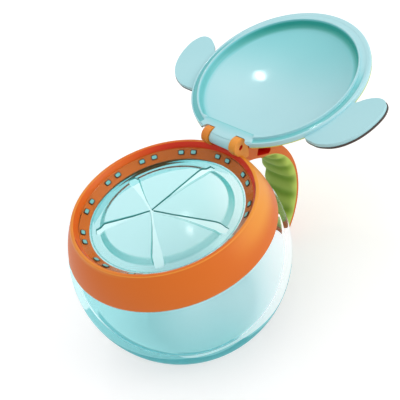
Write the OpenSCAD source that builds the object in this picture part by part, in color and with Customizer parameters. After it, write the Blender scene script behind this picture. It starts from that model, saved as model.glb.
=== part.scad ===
// Toddler snack container: a clear round bowl, a snap-fit collar with a carry
// handle and a soft slit membrane, and a hinged lid that swings right back.
// +Z is up, the bowl stands on z = 0, and the hinge and handle are on +Y.
// The lid is drawn shut and turned open about its hinge, as it stands at rest.

/* [Bowl] */
// Radius of the round outside
ball_r = 47.5; // [44:0.5:52]
// Height of the middle of the ball above the table
ball_z = 39.4; // [37:0.2:42]
// Wall at the widest place
bowl_wall = 2.9; // [2:0.1:3.5]
// How much thicker the wall gets towards the base
heel_extra = 1.8; // [0.5:0.1:3]
// Thickness of the flat floor
floor_t = 4.0; // [3:0.1:6]
// Height of the shoulder that the collar stands on
shoulder_z = 55.7; // [54:0.1:57]
// Thickness of the shoulder
shoulder_t = 2.2; // [1.5:0.1:3]
// Outside radius of the neck
neck_r = 39.0; // [38:0.1:39.5]
// Wall of the neck
neck_wall = 2.4; // [1.6:0.1:3]
// Height of the neck above the shoulder
neck_h = 9.3; // [6:0.1:10]
// Height of the snap bead above the shoulder
bead_h = 4.6; // [3:0.1:6]
// How far the snap bead stands out from the neck
bead_out = 0.12; // [0.05:0.01:0.15]

/* [Collar] */
// Gap between the collar and the shoulder
seat_gap = 0.15; // [0.1:0.05:0.4]
// Gap between the neck and the collar's bore
neck_gap = 0.2; // [0.15:0.05:0.3]
// Radius of the ring that runs along the top of the lip
lip_r = 37.35; // [37:0.05:38]
// Height of the middle of the lip bead
lip_z = 70.1; // [69:0.1:71]
// Radius of the rounded lip bead
lip_bead = 0.75; // [0.5:0.05:1]
// How far the outside bulges from a straight cone
collar_bulge = 0.55; // [0.2:0.05:0.8]
// Outer end of the ledge inside the mouth, radius
ledge_out_r = 36.2; // [35.8:0.1:36.4]
// Outer end of the ledge inside the mouth, height
ledge_out_z = 68.95; // [68.5:0.05:69.2]
// Inner end of the ledge, radius
ledge_in_r = 32.55; // [32:0.05:33]
// Inner end of the ledge, height
ledge_in_z = 63.9; // [63.5:0.05:64.3]
// Thickness of the hard ledge
ledge_t = 1.4; // [1:0.1:1.8]

/* [Handle] */
// Width of the handle
handle_w = 19; // [16:0.5:22]
// Distance from the axis at which its back meets the level of the lip
arm_top_y = 45.8; // [44:0.1:47]
// Radius of the lower sweep of its back
sweep_low_r = 39.0; // [37:0.1:41]
// Farthest reach of the back from the bowl's axis
handle_reach = 67.8; // [65:0.5:71]
// Height of that farthest place
handle_z = 36.5; // [34:0.5:39]
// Thickness of the arm where it leaves the collar
arm_t = 7.9; // [7:0.1:9]
// Thickness of the handle at the grip
grip_zone_t = 4.6; // [4:0.1:5.5]
// Angle up the sweep at which the grip starts
grip_top_a = 42; // [36:1:44]
// Angle down the sweep at which the handle ends
handle_end_a = 50; // [42:1:54]
// Depth of the moulded pocket in each side of the arm
pocket_deep = 6; // [3:0.5:8]
// How far the pocket lies inside the arm's back
pocket_in = 2.9; // [2:0.1:3.4]
// Width of the pocket across the arm
pocket_t = 3.6; // [2.5:0.1:3.8]
// Thickness of the hard back that shows beside the grip
back_t = 1.2; // [0.9:0.1:1.6]
// Depth of the hard core inside the grip
core_t = 1.8; // [1.2:0.1:2.4]
// Width of the hard core inside the grip
core_w = 12; // [8:0.5:14]
// Number of ridges across the grip
ridges = 6; // [4:1:8]
// Height of the ridges
ridge_h = 0.5; // [0.3:0.1:0.8]

/* [Membrane] */
// Thickness of the film on the ledge
film_t = 0.7; // [0.5:0.05:0.9]
// Thickness of the flaps
flap_t = 1.1; // [0.8:0.1:1.4]
// Radius at the foot of the raised middle
step_foot_r = 28.0; // [27.5:0.1:28.5]
// Radius at the top of the step
step_top_r = 26.0; // [25:0.1:26.5]
// Height of the step
step_h = 1.6; // [1:0.1:2]
// Further rise to the middle of the membrane
dome_h = 1.6; // [0.8:0.1:2]
// Distance of the slits' meeting point from the axis
meet_r = 5.6; // [0:0.1:7]
// Direction of the meeting point
meet_a = -119; // [-180:1:180]
// Distance of the slits' outer ends from the axis
slit_end_r = 29.8; // [29:0.1:30.5]
// Width of a slit at the meeting point
slit_in_w = 0.8; // [0.5:0.1:1.2]
// Width of a slit at its widest
slit_wide_w = 4.2; // [2:0.1:5]
// Width of a slit at its outer end
slit_end_w = 2.8; // [1.5:0.1:4]
// Gap along the line where a flap bends
bend_gap = 0.25; // [0.2:0.05:0.5]
// Number of pairs of rivets that lock the membrane to the ledge
rivet_pairs = 12; // [8:1:12]
// Radius of a rivet
rivet_r = 0.95; // [0.7:0.05:1.1]
// Gap around a rivet in its hole
rivet_gap = 0.05; // [0.03:0.01:0.1]
// Turn of the rivet ring about the axis
rivet_turn = 0.2; // [-15:0.1:15]

/* [Lid] */
// Angle at which the lid rests open
open_angle = 169; // [150:1:170]
// Distance of the hinge from the bowl's axis
hinge_y = 37.6; // [37.2:0.1:38.4]
// Height of the hinge
hinge_z = 73.6; // [73.2:0.1:74]
// Radius of the hinge barrel
barrel_r = 3.0; // [2.6:0.1:3.1]
// Length of the hinge barrel
barrel_len = 12.2; // [10:0.1:13]
// Radius of the hinge pins
pin_r = 1.0; // [0.8:0.05:1.2]
// Running gap around a hinge pin
pin_gap = 0.05; // [0.02:0.01:0.1]
// How far each pin reaches into its lug
pin_len = 2.2; // [1.5:0.1:3]
// Radius of the lugs
lug_r = 3.8; // [3.4:0.1:4]
// Thickness of a lug
lug_t = 3.6; // [3:0.1:4]
// Gap between a lug and the barrel beside it
lug_gap = 0.15; // [0.1:0.05:0.3]
// Radius of the lid's rim
rim_r = 39.9; // [39.5:0.1:41]
// How far the rim is set towards the front
rim_shift = 1.0; // [0.5:0.1:1.5]
// Height of the rim's lower edge when shut
rim_z = 70.5; // [70.3:0.1:70.8]
// Thickness of the rim
rim_t = 2.6; // [2:0.1:3]
// Inner radius of the plug ring
plug_in_r = 35.4; // [34:0.1:35.5]
// Outer radius of the plug ring
plug_out_r = 36.2; // [35.8:0.05:36.25]
// Height of the plug ring's lower edge when shut
plug_z = 69.8; // [69.6:0.1:70]
// Clearance of the groove over the lip
groove_gap = 0.3; // [0.2:0.05:0.5]
// Height of the hollow's side wall
hollow_h = 3.5; // [3:0.1:5]
// Rise of the hollow's roof from its side to the middle
hollow_rise = 4.4; // [2:0.1:6]
// Thickness of the lid's top
lid_t = 1.5; // [1.2:0.1:2]
// Thickness of the coloured cover
cover_t = 0.9; // [0.7:0.1:1.2]
// Distance of the hollow's flat rear side from the axis
hollow_back_y = 31.4; // [30:0.1:31.6]
// Half width of the smooth plate at the hinge
plate_half_w = 14.3; // [13:0.1:16]

/* [Ears] */
// Reach of an ear beyond its root line
ear_reach = 17.4; // [14:0.2:20]
// Droop of the ears below the rim's level
ear_droop = 8; // [5:1:16]
// Turn of the pair of ears about the lid's axis
ear_turn = 3; // [0:0.5:4]
// Thickness of an ear
ear_t = 1.7; // [1.4:0.1:2.2]
// Thickness of an ear's dark cover
ear_cover_t = 0.7; // [0.5:0.1:1]

/* [Hidden] */
$fn = 96;
eps = 0.01;
big = 200;

aqua = [0.62, 0.87, 0.88];
clear_aqua = [0.68, 0.89, 0.90, 0.5];
orange = [0.88, 0.46, 0.16];
grip_green = [0.58, 0.72, 0.30];
lime = [0.74, 0.84, 0.36];
ear_brown = [0.22, 0.15, 0.11];

// Directions of the five slit ends, going round from the front left
slit_a = [-125, -48, 11, 94, 169];

inner_r = ball_r - bowl_wall;
inner_z = ball_z + heel_extra;
shoulder_r = sqrt(ball_r * ball_r - pow(shoulder_z - ball_z, 2));
neck_top = shoulder_z + neck_h;
collar_z = shoulder_z + seat_gap;
collar_r = sqrt(ball_r * ball_r - pow(collar_z - ball_z, 2));
bore_r = neck_r + neck_gap;
lip_top = lip_z + lip_bead;

// The ledge's slope, and the unit vector that points down and out of it
ledge_len = norm([ledge_out_r - ledge_in_r, ledge_out_z - ledge_in_z]);
ledge_dir = [ledge_out_r - ledge_in_r, ledge_out_z - ledge_in_z] / ledge_len;
ledge_down = [ledge_dir[1], -ledge_dir[0]];
ledge_a = atan2(ledge_dir[1], ledge_dir[0]);
rivet_at = 0.6 * ledge_len;

// The upper sweep runs from the farthest place up to the level of the lip
arm_run = handle_reach - arm_top_y;
arm_rise = rim_z - 0.35 - handle_z;
sweep_up_r = (arm_run * arm_run + arm_rise * arm_rise) / (2 * arm_run);
arm_a = min(88, asin(arm_rise / sweep_up_r) + 8);
sweep_up_y = handle_reach - sweep_up_r;
sweep_low_y = handle_reach - sweep_low_r;

lug_x = barrel_len / 2 + lug_gap;
lug_end = lug_x + lug_t;
slot_r = lug_r + 0.4;
notch_z = rim_z - 0.35;
groove_in_r = plug_out_r;
groove_out_r = lip_r + lip_bead + groove_gap + 0.1;
groove_top = lip_top + groove_gap;
rim_top = rim_z + rim_t;
roof_side_z = plug_z + hollow_h;
roof_mid_z = roof_side_z + hollow_rise;

function arc_pts(c, r, a0, a1, n) =
    [for (i = [0:n]) let (a = a0 + (a1 - a0) * i / n) c + r * [cos(a), sin(a)]];
function bulge_pts(p, q, bulge, n) =
    let (d = q - p, out = [d[1], -d[0]] / norm(d))
    [for (i = [0:n]) let (t = i / n) p + d * t + out * bulge * 4 * t * (1 - t)];
// Height of the membrane's upper face at a radius
function skin_z(r) =
    r >= step_foot_r ? ledge_in_z - 0.1
    : r >= step_top_r ? ledge_in_z - 0.1
        + step_h * (step_foot_r - r) / (step_foot_r - step_top_r)
    : ledge_in_z - 0.1 + step_h + dome_h * (1 - pow(r / step_top_r, 2));
// A smooth closed curve through a few points
function spline(p, n) =
    [for (i = [0:len(p) - 1], j = [0:n - 1])
        let (m = len(p), t = j / n,
             a = p[(i + m - 1) % m], b = p[i], c = p[(i + 1) % m], d = p[(i + 2) % m])
        0.5 * (2 * b + (c - a) * t + (2 * a - 5 * b + 4 * c - d) * t * t
               + (3 * b - a - 3 * c + d) * t * t * t)];

module at_hinge() {
    translate([0, hinge_y, hinge_z]) rotate([-open_angle, 0, 0])
        translate([0, -hinge_y, -hinge_z]) children();
}

module bowl() {
    color(clear_aqua) difference() {
        union() {
            intersection() {
                translate([0, 0, ball_z]) sphere(ball_r);
                cylinder(r = big, h = shoulder_z);
            }
            translate([0, 0, shoulder_z - shoulder_t])
                cylinder(r = neck_r, h = shoulder_t + neck_h);
            rotate_extrude() translate([neck_r - 0.6 + bead_out, shoulder_z + bead_h])
                circle(0.6);
        }
        intersection() {
            translate([0, 0, inner_z]) sphere(inner_r);
            translate([0, 0, floor_t])
                cylinder(r = big, h = shoulder_z - shoulder_t - floor_t);
        }
        translate([0, 0, ball_z]) cylinder(r = neck_r - neck_wall, h = big);
    }
}

// Section of the collar, from its foot up the outside, over the lip and down
// the ledge to the bore
module collar_section() {
    foot = [collar_r, collar_z];
    top = [lip_r + lip_bead * 0.97, lip_z];
    ledge_top = [ledge_out_r, ledge_out_z] + film_t * ledge_down;
    ledge_end = [ledge_in_r, ledge_in_z] + film_t * ledge_down;
    under_end = ledge_end + ledge_t * ledge_down;
    under_top = under_end + ledge_dir * (bore_r - under_end[0] - 0.6) / ledge_dir[0];
    polygon(concat(
        bulge_pts(foot, top, collar_bulge, 8),
        [[lip_r - lip_bead * 0.97, lip_z],
         [ledge_out_r + 0.1, ledge_out_z + 0.15], ledge_top + [-0.05, 0.1],
         ledge_end, under_end, under_top,
         [bore_r, min(under_top[1], neck_top + 0.4)], [bore_r, collar_z]]));
}

module handle_arc(thick, a0, a1, inset = 0) {
    // A band along the sweep: its back lies inset inside the handle's back
    upper = max(a1, 0);
    lower = min(a0, 0);
    if (upper > 0) translate([0, sweep_up_y, handle_z]) rotate([90, 0, 90])
        linear_extrude(handle_w, center = true) band_2d(sweep_up_r - inset, thick, max(a0, 0), upper);
    if (lower < 0) translate([0, sweep_low_y, handle_z]) rotate([90, 0, 90])
        linear_extrude(handle_w, center = true) band_2d(sweep_low_r - inset, thick, lower, min(a1, 0));
}
module band_2d(r, thick, a0, a1) {
    difference() {
        intersection() {
            circle(r);
            polygon(concat([[0, 0]], arc_pts([0, 0], r * 1.6, a0, a1, 6)));
        }
        circle(r - thick);
    }
}
// The upper arm's side view: a crescent that is thick at the collar and thins
// to the grip zone
module arm_2d() {
    thin = (arm_t - grip_zone_t);
    difference() {
        intersection() {
            circle(sweep_up_r);
            polygon(concat([[0, 0]], arc_pts([0, 0], sweep_up_r * 1.6, 0, arm_a, 6)));
        }
        translate([-thin * 0.35, -thin * 0.95]) circle(sweep_up_r - grip_zone_t + 0.2);
    }
}
module side_box(half_x) {
    translate([-half_x, -big / 2, -big / 2]) cube([2 * half_x, big, big]);
}
module along_x(len, r, x0 = 0) {
    translate([x0, 0, 0]) rotate([0, 90, 0]) cylinder(r = r, h = len);
}

module arm() {
    difference() {
        translate([0, sweep_up_y, handle_z]) rotate([90, 0, 90])
            linear_extrude(handle_w, center = true) arm_2d();
        // the grip zone is only a thin back and a core
        translate([0, sweep_up_y, handle_z]) grip_cut();
        // moulded pockets in both sides
        for (s = [0, 1]) mirror([s, 0, 0])
            translate([handle_w / 2 - pocket_deep, sweep_up_y, handle_z]) rotate([90, 0, 90])
                linear_extrude(pocket_deep + 1) difference() {
                    intersection() {
                        circle(sweep_up_r - pocket_in);
                        polygon(concat([[0, 0]], arc_pts([0, 0], sweep_up_r * 1.6, arm_a - 29, arm_a - 12.5, 3)));
                    }
                    circle(sweep_up_r - pocket_in - pocket_t);
                }
        // clear of the neck, the mouth and the turning lid
        rotate_extrude() polygon([[0, 0], [bore_r + 0.6, 0], [bore_r + 0.6, neck_top + 0.6],
                                  [lip_r, lip_z], [lip_r, big], [0, big]]);
        translate([-big / 2, 0, notch_z]) cube([big, big, big]);
    }
    // thin hard back and its core, down to the handle's tip
    handle_arc(back_t, -handle_end_a, grip_top_a + 3);
    intersection() {
        handle_arc(back_t + core_t, -handle_end_a + 3, grip_top_a + 3);
        side_box(core_w / 2);
    }
    // solid tip
    handle_arc(grip_zone_t - 0.4, -handle_end_a, -handle_end_a + 3.5);
}
module grip_cut() {
    difference() {
        rotate([90, 0, 90]) linear_extrude(big, center = true)
            intersection() {
                circle(sweep_up_r - back_t);
                polygon(concat([[0, 0]], arc_pts([0, 0], sweep_up_r * 1.6, -1, grip_top_a, 6)));
            }
        intersection() {
            rotate([90, 0, 90]) linear_extrude(big, center = true) difference() {
                circle(sweep_up_r);
                circle(sweep_up_r - back_t - core_t);
            }
            side_box(core_w / 2);
        }
    }
}

module lugs() {
    for (s = [0, 1]) mirror([s, 0, 0]) {
        translate([0, hinge_y, hinge_z]) along_x(lug_t, lug_r, lug_x);
        // foot of the lug, down into the collar's wall
        difference() {
            translate([lug_x, hinge_y - lug_r + 1.2, lip_z - 4])
                cube([lug_t, 2 * lug_r - 1.2, hinge_z - lip_z + 4]);
            translate([0, 0, lip_z - 5]) cylinder(r = lip_r - lip_bead * 0.9, h = 5.2);
        }
    }
}

module collar() {
    color(orange) difference() {
        union() {
            rotate_extrude() collar_section();
            rotate_extrude() translate([lip_r, lip_z]) circle(lip_bead);
            arm();
            lugs();
        }
        // the lip is lower where the lid's hinge plate passes over it
        difference() {
            translate([-plate_half_w - 0.3, 20, notch_z])
                cube([2 * plate_half_w + 0.6, 40, big]);
            for (s = [0, 1]) mirror([s, 0, 0])
                translate([lug_x, 0, 0]) cube([lug_t, big, big]);
        }
        // the mouth stays clear below the hinge
        difference() {
            translate([0, 0, ledge_out_z + 0.1]) cylinder(r = lip_r - lip_bead, h = lip_top - ledge_out_z - 0.4);
            rotate_extrude() collar_section();
            rotate_extrude() translate([lip_r, lip_z]) circle(lip_bead);
        }
        // groove for the snap bead
        rotate_extrude() translate([neck_r - 0.45 + bead_out, shoulder_z + bead_h]) circle(0.75);
        // hinge bores
        translate([-big / 2, hinge_y, hinge_z]) along_x(big, pin_r + pin_gap);
        rivets(rivet_r + rivet_gap, 0.5);
    }
}

// The rivets stand square to the ledge, in pairs
module rivets(r, past) {
    step = 360 / rivet_pairs;
    for (k = [0:rivet_pairs - 1], s = [-1, 1])
        rotate([0, 0, rivet_turn + k * step + s * 4.8])
            translate([ledge_in_r + rivet_at * ledge_dir[0], 0, ledge_in_z + rivet_at * ledge_dir[1]])
                rotate([0, 180 - ledge_a, 0])
                    translate([0, 0, film_t / 2])
                        cylinder(r = r, h = film_t / 2 + ledge_t + past);
}

module grip_band(a0, a1, cy, r) {
    translate([0, cy, handle_z]) rotate([90, 0, 90]) linear_extrude(handle_w - 0.1, center = true)
        band_2d(r - back_t, grip_zone_t - back_t, a0, a1);
}
module grip_top_2d() {
    // the grip's upper end, thick under the arm
    thin = (arm_t - grip_zone_t);
    difference() {
        intersection() {
            circle(sweep_up_r - back_t);
            polygon(concat([[0, 0]], arc_pts([0, 0], sweep_up_r * 1.6, 0, grip_top_a, 6)));
        }
        translate([-thin * 0.35, -thin * 0.95]) circle(sweep_up_r - grip_zone_t - 0.3);
    }
}
module handle_grip() {
    color(grip_green) difference() {
        union() {
            translate([0, sweep_up_y, handle_z]) rotate([90, 0, 90])
                linear_extrude(handle_w - 0.1, center = true) grip_top_2d();
            grip_band(-handle_end_a + 3.6, 0, sweep_low_y, sweep_low_r);
            for (i = [0:ridges - 1]) grip_ridge(i);
        }
        intersection() {
            union() {
                translate([0, sweep_up_y, handle_z]) rotate([90, 0, 90])
                    linear_extrude(big, center = true) difference() {
                        circle(sweep_up_r + 1);
                        circle(sweep_up_r - back_t - core_t);
                    }
            }
            translate([-core_w / 2, 0, handle_z]) cube([core_w, big, big]);
        }
        intersection() {
            translate([0, sweep_low_y, handle_z]) rotate([90, 0, 90])
                linear_extrude(big, center = true) difference() {
                    circle(sweep_low_r + 1);
                    circle(sweep_low_r - back_t - core_t);
                }
            translate([-core_w / 2, 0, handle_z - big]) cube([core_w, big, big + eps]);
        }
    }
}
// A low round ridge across the inside of the grip
module grip_ridge(i) {
    a = grip_top_a - 6 - i * (grip_top_a + handle_end_a - 16) / (ridges - 1);
    up = a >= 0;
    cy = up ? sweep_up_y : sweep_low_y;
    thin = arm_t - grip_zone_t;
    r = up ? sweep_up_r - grip_zone_t - thin * 0.95 * sin(a) - thin * 0.35 * cos(a) - 0.2
           : sweep_low_r - grip_zone_t;
    translate([-handle_w / 2 + 1.2, cy + (r + 0.6) * cos(a), handle_z + (r + 0.6) * sin(a)])
        along_x(handle_w - 2.4, 0.6 + ridge_h);
}

// Section of the whole membrane sheet, middle to film edge
module skin_section() {
    n = 10;
    top = concat(
        [for (i = [0:n]) let (r = step_top_r * i / n) [r, skin_z(r)]],
        [[step_foot_r, skin_z(step_foot_r)], [ledge_in_r, ledge_in_z], [ledge_out_r, ledge_out_z]]);
    low_end = [ledge_in_r, ledge_in_z] + film_t * ledge_down;
    low = concat(
        [[ledge_out_r, ledge_out_z] + film_t * ledge_down + [-0.06, 0.1], low_end + [-0.02, 0],
         [ledge_in_r - 0.1, ledge_in_z - flap_t - 0.1],
         [step_foot_r - 0.5, skin_z(step_foot_r) - flap_t]],
        [for (i = [n:-1:0]) let (r = (step_top_r - 0.4) * i / n)
            [r, skin_z(r) - flap_t]]);
    polygon(concat(top, low));
}
meet = meet_r * [cos(meet_a), sin(meet_a)];
function slit_end(i) = slit_end_r * [cos(slit_a[i % 5]), sin(slit_a[i % 5])];
// One slit: narrow at the meeting point, widest before its outer end
module slit_2d(i) {
    e = slit_end(i);
    d = (e - meet) / norm(e - meet);
    n = [-d[1], d[0]] / 2;
    wide = meet + (e - meet) * 0.82;
    polygon([meet - d * 0.2 - n * slit_in_w, meet + (e - meet) * 0.3 - n * slit_in_w * 1.1,
             wide - n * slit_wide_w, e - n * slit_end_w,
             e + n * slit_end_w, wide + n * slit_wide_w,
             meet + (e - meet) * 0.3 + n * slit_in_w * 1.1, meet - d * 0.2 + n * slit_in_w]);
}
// The line on which flap i bends runs between two slit ends
module flap_2d(i, gap) {
    a = slit_end(i);
    b = slit_end(i + 1);
    d = (b - a) / norm(b - a);
    inward = [-d[1], d[0]] * gap;
    polygon([meet, a + inward, b + inward]);
}
module slits_2d() { for (i = [0:4]) slit_2d(i); circle_at_meet(); }
module circle_at_meet() { translate(meet) circle(slit_in_w * 0.8); }

module membrane_ring() {
    color(clear_aqua) union() {
        difference() {
            rotate_extrude() skin_section();
            translate([0, 0, ledge_in_z - 10]) linear_extrude(30) {
                polygon([for (i = [0:4]) slit_end(i)]);
                slits_2d();
            }
        }
        rivets(rivet_r, 0.3);
    }
}
module flap(i) {
    color(clear_aqua) intersection() {
        rotate_extrude() skin_section();
        translate([0, 0, ledge_in_z - 10]) linear_extrude(30) difference() {
            flap_2d(i, bend_gap);
            slits_2d();
        }
    }
}
module flap_1() { flap(0); }
module flap_2() { flap(1); }
module flap_3() { flap(2); }
module flap_4() { flap(3); }
module flap_5() { flap(4); }

// The lid's outside, without its cover: a dome on a rim
function dome_pts(extra) =
    let (side = [plug_in_r + lid_t * 0.6 + extra * 0.75, roof_side_z - 0.6],
         h = roof_mid_z + lid_t + extra)
    concat([[side[0] + 1.1, rim_top - 0.6 + extra * 0.3]],
        [for (i = [0:8]) let (t = i / 8, r = side[0] * (1 - t * t * 0.999))
            [r, side[1] + (h - side[1]) * (1 - pow(r / side[0], 2.6))]], [[0, h]]);
module dome_solid(extra) {
    rotate_extrude() polygon(concat([[0, rim_z + 0.8], [dome_pts(extra)[0][0], rim_z + 0.8]], dome_pts(extra)));
}
module rim_solid(z0, z1, grow = 0) {
    r = rim_r + grow;
    c = min(0.9, (z1 - z0) / 2);
    translate([0, -rim_shift, 0]) rotate_extrude()
        polygon(concat([[0, z0]], arc_pts([r - c, z0 + c], c, -90, 0, 4),
                       arc_pts([r - c, z1 - c], c, 0, 90, 4), [[0, z1]]));
}
module hollow() {
    intersection() {
        rotate_extrude() polygon(concat(
            [[0, plug_z - 3], [plug_in_r, plug_z - 3], [plug_in_r, plug_z],
             [plug_in_r - 0.25, roof_side_z - 0.8]],
            [for (i = [0:8]) let (t = i / 8, r = (plug_in_r - 1.0) * (1 - t * t))
                [r, roof_side_z + hollow_rise * (1 - pow(r / (plug_in_r - 1.0), 2))]]));
        translate([-big / 2, hollow_back_y - big, 0]) cube([big, big, big]);
    }
}
module plate() {
    // smooth plate at the hinge: it carries the barrel between the lugs
    intersection() {
        translate([-plate_half_w, 26, rim_z + 0.1])
            cube([2 * plate_half_w, 20, rim_t - 0.2]);
        translate([0, -rim_shift, 0]) cylinder(r = rim_r - 0.1, h = big);
    }
    translate([-barrel_len / 2, 26, rim_z + 0.1])
        cube([barrel_len, hinge_y - 26, hinge_z - rim_z + 0.4]);
    translate([0, hinge_y, hinge_z]) along_x(barrel_len, barrel_r, -barrel_len / 2);
}
module lug_slots() {
    for (s = [0, 1]) mirror([s, 0, 0]) {
        translate([0, hinge_y, hinge_z]) along_x(lug_t + 2 * lug_gap, slot_r, barrel_len / 2);
        translate([barrel_len / 2, hinge_y - slot_r, rim_z - 5])
            cube([lug_t + 2 * lug_gap, 20, hinge_z - rim_z + 5]);
    }
}
module lid_body() {
    difference() {
        union() {
            difference() {
                rim_solid(rim_z, rim_top);
                // groove over the lip
                translate([0, 0, rim_z - 1]) difference() {
                    cylinder(r = groove_out_r, h = groove_top - rim_z + 1);
                    cylinder(r = groove_in_r, h = 20);
                }
                // the rim stops short of the hinge
                translate([-plate_half_w, hinge_y - 3, rim_z - 1]) cube([2 * plate_half_w, 20, 20]);
            }
            translate([0, 0, plug_z]) cylinder(r = plug_out_r, h = rim_top - plug_z);
            dome_solid(0);
            plate();
        }
        hollow();
        lug_slots();
        // nothing of the plug is left in front of the lugs
        translate([-plate_half_w, hollow_back_y + 0.6, plug_z - 2])
            cube([2 * plate_half_w, 30, rim_z + 0.1 - plug_z + 2]);
    }
}

// An ear's outline, from its root line outwards (right ear)
ear_root = rim_r - 1.9;
ear_k = ear_reach / 17.4;
ear_pts = ear_k * [[-6, 0.5], [-1, -0.3], [3.5, -1.8], [6.3, -4.5], [10.1, -6.4], [13.6, -6.3],
                   [16, -4.2], [17.4, 0.4], [17, 6.7], [15.3, 12.4], [12.4, 17], [8.6, 20.3],
                   [3.8, 22.1], [0, 22.2], [-4.5, 21.3], [-8, 18], [-9, 10]];
module ear_solid(side, low, high) {
    // laid on the rim's side and tipped down by the droop
    difference() {
        rotate([0, 0, ear_turn]) scale([side, 1, 1])
            translate([ear_root, 0, rim_z + 1.2]) rotate([0, ear_droop, 0])
                translate([0, 0, low]) linear_extrude(high - low) polygon(spline(ear_pts, 4));
        translate([0, 0, rim_z - big / 2]) cylinder(r = groove_out_r + 0.6, h = big);
    }
}
module lid_shell() {
    color(aqua) at_hinge() union() {
        lid_body();
        difference() {
            for (s = [-1, 1]) ear_solid(s, 0, ear_t);
            // the cover's edge lies over the root
            translate([0, -rim_shift, rim_top - 0.42]) cylinder(r = rim_r + 0.08, h = big);
        }
        difference() {
            translate([0, hinge_y, hinge_z])
                along_x(barrel_len + 2 * pin_len, pin_r, -barrel_len / 2 - pin_len);
            translate([-barrel_len / 2 + 1, 0, 0]) cube([barrel_len - 2, big, big]);
        }
    }
}
module lid_cover() {
    color(lime) at_hinge() difference() {
        union() {
            dome_solid(cover_t);
            rim_solid(rim_top - 0.9, rim_top + cover_t * 0.4, 0.05);
        }
        union() {
            rim_solid(rim_z - 5, rim_top - 0.4, 3);
            dome_solid(0.02);
            translate([0, 0, rim_z - 1]) cylinder(r = plug_in_r, h = rim_top - rim_z + 1);
            rim_solid(rim_z, rim_top + 0.02);
        }
        plate_room();
    }
}
module plate_room() {
    translate([-plate_half_w - 0.2, hollow_back_y + 1.6, rim_z - 2]) cube([2 * plate_half_w + 0.4, 30, 30]);
}
module ear_cover(side) {
    at_hinge() difference() {
        ear_solid(side, ear_t + 0.02, ear_t + ear_cover_t);
        rim_solid(rim_z, rim_top + cover_t, 0.1);
        dome_solid(cover_t + 0.1);
    }
}
module ear_cover_right() { color(ear_brown) ear_cover(1); }
module ear_cover_left() { color(ear_brown) ear_cover(-1); }

bowl();
collar();
handle_grip();
membrane_ring();
flap_1();
flap_2();
flap_3();
flap_4();
flap_5();
lid_shell();
lid_cover();
ear_cover_left();
ear_cover_right();
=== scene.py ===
import math

import bmesh
import bpy
import numpy as np
from mathutils import Matrix, Vector


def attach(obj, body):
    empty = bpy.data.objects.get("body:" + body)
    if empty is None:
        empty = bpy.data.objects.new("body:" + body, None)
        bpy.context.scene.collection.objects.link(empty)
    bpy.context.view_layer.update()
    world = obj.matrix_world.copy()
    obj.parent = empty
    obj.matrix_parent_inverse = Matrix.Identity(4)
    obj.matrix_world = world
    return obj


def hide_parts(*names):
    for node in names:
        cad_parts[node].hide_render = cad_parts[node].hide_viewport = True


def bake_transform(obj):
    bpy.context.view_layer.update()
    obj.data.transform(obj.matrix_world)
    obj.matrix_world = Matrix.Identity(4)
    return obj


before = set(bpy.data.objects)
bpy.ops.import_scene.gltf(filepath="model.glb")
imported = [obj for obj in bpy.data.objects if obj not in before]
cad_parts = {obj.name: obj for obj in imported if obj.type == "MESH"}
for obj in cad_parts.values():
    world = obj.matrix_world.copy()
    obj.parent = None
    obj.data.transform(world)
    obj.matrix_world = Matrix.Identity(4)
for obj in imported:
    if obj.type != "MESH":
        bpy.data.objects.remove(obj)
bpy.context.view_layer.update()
SCENE = bpy.context.scene
MM = 0.001
TAU = 2 * math.pi
SHARP = 38  # two faces that meet at more degrees than this show a hard line

# Lengths are in millimetres: +Z up, +Y towards the hinge and the handle, the origin under the foot.


# ------------------------------------------------------- colours and places

def screen(r, g, b):
    """A colour given as 0-255 screen values, as linear light with alpha 1."""
    def one(c):
        c /= 255
        return c / 12.92 if c <= 0.04045 else ((c + 0.055) / 1.055) ** 2.4
    return (one(r), one(g), one(b), 1.0)


def smooth(a, b, x):
    """A soft step from 0 at a to 1 at b."""
    t = np.clip((x - a) / (b - a), 0, 1)
    return t * t * (3 - 2 * t)


def ray(a):
    """The unit vector at an angle in degrees."""
    return np.array([math.cos(math.radians(a)), math.sin(math.radians(a))])


def rightward(x, y):
    """How far a point lies to the right, as the camera looks at the object."""
    return 0.55 * x + 0.835 * y


def away(x, y):
    """How far a point lies away from the camera."""
    return 0.55 * y - 0.835 * x


# ------------------------------------------------------------- mesh helpers

def placed(name, data):
    """A new object in the scene, at the origin."""
    o = bpy.data.objects.new(name, data)
    SCENE.collection.objects.link(o)
    return o


def drop(objs):
    """Takes objects away, and their meshes."""
    for o in objs:
        mesh = o.data
        bpy.data.objects.remove(o)
        bpy.data.meshes.remove(mesh)


def shade_soft(mesh, sharp=SHARP):
    """Smooth shading, with hard lines at the sharp edges."""
    mesh.shade_smooth()
    mesh.set_sharp_from_angle(angle=math.radians(sharp))


def piece(name, verts, faces, mats, fmat=None, sharp=SHARP):
    """A mesh object from points in millimetres, faces turned outwards."""
    mesh = bpy.data.meshes.new(name)
    mesh.from_pydata([tuple(v) for v in (np.asarray(verts, float) * MM)], [], faces)
    if fmat is not None:
        mesh.polygons.foreach_set("material_index", np.asarray(fmat, np.int32))
    bm = bmesh.new()
    bm.from_mesh(mesh)
    bmesh.ops.remove_doubles(bm, verts=bm.verts, dist=1e-7)
    bmesh.ops.recalc_face_normals(bm, faces=bm.faces)
    bm.to_mesh(mesh)
    bm.free()
    for m in mats:
        mesh.materials.append(m)
    shade_soft(mesh, sharp)
    return placed(name, mesh)


def baked(o):
    """The object with its modifiers made part of its mesh."""
    dg = bpy.context.evaluated_depsgraph_get()
    dg.update()
    new = bpy.data.meshes.new_from_object(o.evaluated_get(dg))
    o.modifiers.clear()
    old = o.data
    o.data = new
    new.name = o.name
    bpy.data.meshes.remove(old)
    shade_soft(new)
    return o


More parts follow.
